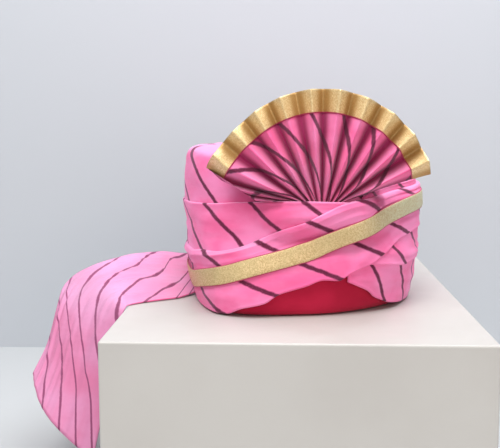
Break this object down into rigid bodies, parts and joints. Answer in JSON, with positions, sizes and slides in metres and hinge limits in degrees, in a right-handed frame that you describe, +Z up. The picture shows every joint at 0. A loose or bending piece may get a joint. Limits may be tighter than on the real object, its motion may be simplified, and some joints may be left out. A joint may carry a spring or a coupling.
{
  "type": "tied turban on a display block",
  "caption": "Tied cloth turban with crossing wraps, a slanting gold ribbon, a pleated fan with a lace edge and a long tail, set out on a plain white display block.",
  "frame": {"origin": "middle of the display block's underside", "axes": "+Z up, the turban's front with the fan faces -Y, +X is to the right seen from the front, +Y runs along the block's depth"},
  "size_m": [0.3637, 0.41, 0.3299],
  "materials": {
    "white_paint": "smooth white paint",
    "red_cloth": "plain matte cloth over padding",
    "pink_cloth": "fine cotton with dark slanting stripes",
    "gold_weave": "gold metallic ribbon weave with a red edge thread",
    "gold_lace": "gold metallic lace"
  },
  "bodies": {
    "root": {"display_block": "white_paint", "padded_cap": "red_cloth", "crown_cloth": "pink_cloth", "upper_band": "pink_cloth", "lower_flap": "pink_cloth", "upper_flap": "pink_cloth", "upper_fold": "pink_cloth", "lower_wrap": "pink_cloth", "diagonal_wrap": "pink_cloth", "fan": "pink_cloth", "tail": "pink_cloth", "gold_ribbon": "gold_weave", "fan_lace": "gold_lace"}
  },
  "joints": []
}
